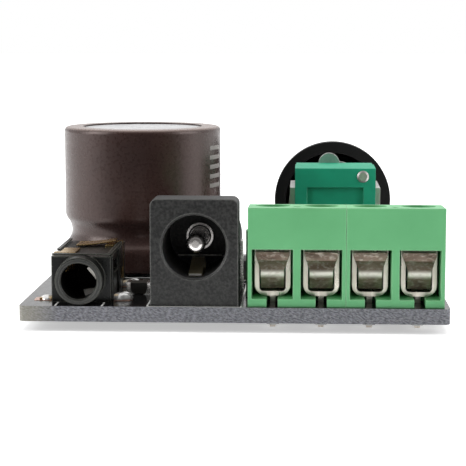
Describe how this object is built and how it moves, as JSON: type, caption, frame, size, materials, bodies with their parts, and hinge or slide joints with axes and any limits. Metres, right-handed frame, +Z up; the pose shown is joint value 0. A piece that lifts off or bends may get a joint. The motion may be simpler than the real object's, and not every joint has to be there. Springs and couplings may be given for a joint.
{
  "type": "audio amplifier board",
  "caption": "Small stereo audio amplifier board with audio jack, barrel power jack, screw wire clamps, large electrolytic capacitor and a volume control with knob.",
  "frame": {"origin": "middle of the underside, on the plane of the soldered pin tails that the board rests on", "axes": "+X along the connector edge from the audio jack to the wire clamps, +Y from the connector edge to the knob, +Z up"},
  "size_m": [0.044, 0.0584, 0.0194],
  "materials": {
    "board_laminate": "black solder mask over glass laminate",
    "solder": "bright tin solder",
    "jack_plastic": "black moulded plastic",
    "contact_brass": "rolled brass strip",
    "power_plastic": "black moulded plastic",
    "tinned_metal": "tinned metal",
    "clamp_plastic": "green moulded plastic",
    "cage_metal": "tinned sheet",
    "guard_metal": "nickel plated spring sheet",
    "screw_metal": "plated steel",
    "can_metal": "drawn aluminium",
    "sleeve_plastic": "brown shrink sleeve",
    "bung_rubber": "black rubber",
    "switch_plastic": "dark green moulded plastic",
    "phenolic": "brown phenolic",
    "frame_steel": "plated steel",
    "knob_plastic": "black moulded plastic",
    "chip_plastic": "black moulded compound",
    "ferrite": "grey ferrite",
    "ceramic_body": "fired ceramic"
  },
  "bodies": {
    "board": {"circuit_board": "board_laminate", "solder_joints": "solder", "audio_jack_housing": "jack_plastic", "audio_jack_sleeve_contact": "contact_brass", "audio_jack_ring_contact": "contact_brass", "audio_jack_tip_contact": "contact_brass", "dc_jack_housing": "power_plastic", "dc_jack_center_pin": "tinned_metal", "dc_jack_pin_lug": "tinned_metal", "dc_jack_spring_contact": "contact_brass", "dc_jack_side_contact": "tinned_metal", "terminal_block_left": "clamp_plastic", "terminal_block_right": "clamp_plastic", "capacitor_can": "can_metal", "capacitor_sleeve": "sleeve_plastic", "capacitor_bung": "bung_rubber", "capacitor_leads": "tinned_metal", "pot_switch_housing": "switch_plastic", "pot_rivets": "frame_steel", "pot_gang_housing": "phenolic", "pot_frame": "frame_steel", "pot_bushing": "frame_steel", "pot_terminals": "tinned_metal", "pot_washer": "frame_steel", "pot_nut": "frame_steel", "amplifier_chip": "chip_plastic", "amplifier_chip_leads": "tinned_metal", "filter_inductors": "ferrite", "inductor_clips": "tinned_metal", "chip_part_bodies": "ceramic_body", "chip_part_ends": "tinned_metal", "terminal_cage_1": "cage_metal", "terminal_cage_2": "cage_metal", "terminal_cage_3": "cage_metal", "terminal_cage_4": "cage_metal"},
    "knob": {"pot_shaft": "frame_steel", "volume_knob": "knob_plastic"},
    "guard_1": {"wire_guard_1": "guard_metal"},
    "screw_1": {"clamp_screw_1": "screw_metal"},
    "guard_2": {"wire_guard_2": "guard_metal"},
    "screw_2": {"clamp_screw_2": "screw_metal"},
    "guard_3": {"wire_guard_3": "guard_metal"},
    "screw_3": {"clamp_screw_3": "screw_metal"},
    "guard_4": {"wire_guard_4": "guard_metal"},
    "screw_4": {"clamp_screw_4": "screw_metal"}
  },
  "joints": [
    {"name": "knob_turn", "type": "hinge", "parent": "board", "child": "knob", "pos_m": [0.0108, 0.00755, 0.00895], "axis": [0, 1, 0], "range_deg": [-150, 150]},
    {"name": "guard_1_lift", "type": "slide", "parent": "board", "child": "guard_1", "axis": [0, 0, 1], "range_m": [0, 0.0018]},
    {"name": "screw_1_turn", "type": "hinge", "parent": "guard_1", "child": "screw_1", "pos_m": [0.00395, -0.0251, 0.00265], "axis": [0, 0, 1], "range_deg": [0, 1445]},
    {"name": "guard_2_lift", "type": "slide", "parent": "board", "child": "guard_2", "axis": [0, 0, 1], "range_m": [0, 0.0018]},
    {"name": "screw_2_turn", "type": "hinge", "parent": "guard_2", "child": "screw_2", "pos_m": [0.00895, -0.0251, 0.00265], "axis": [0, 0, 1], "range_deg": [0, 1445]},
    {"name": "guard_3_lift", "type": "slide", "parent": "board", "child": "guard_3", "axis": [0, 0, 1], "range_m": [0, 0.0018]},
    {"name": "screw_3_turn", "type": "hinge", "parent": "guard_3", "child": "screw_3", "pos_m": [0.01395, -0.0251, 0.00265], "axis": [0, 0, 1], "range_deg": [0, 1445]},
    {"name": "guard_4_lift", "type": "slide", "parent": "board", "child": "guard_4", "axis": [0, 0, 1], "range_m": [0, 0.0018]},
    {"name": "screw_4_turn", "type": "hinge", "parent": "guard_4", "child": "screw_4", "pos_m": [0.01895, -0.0251, 0.00265], "axis": [0, 0, 1], "range_deg": [0, 1445]}
  ],
  "couplings": [
    {"joint": "screw_1_turn", "follows": "guard_1_lift", "rad_per_m": 13963},
    {"joint": "screw_2_turn", "follows": "guard_2_lift", "rad_per_m": 13963},
    {"joint": "screw_3_turn", "follows": "guard_3_lift", "rad_per_m": 13963},
    {"joint": "screw_4_turn", "follows": "guard_4_lift", "rad_per_m": 13963}
  ]
}
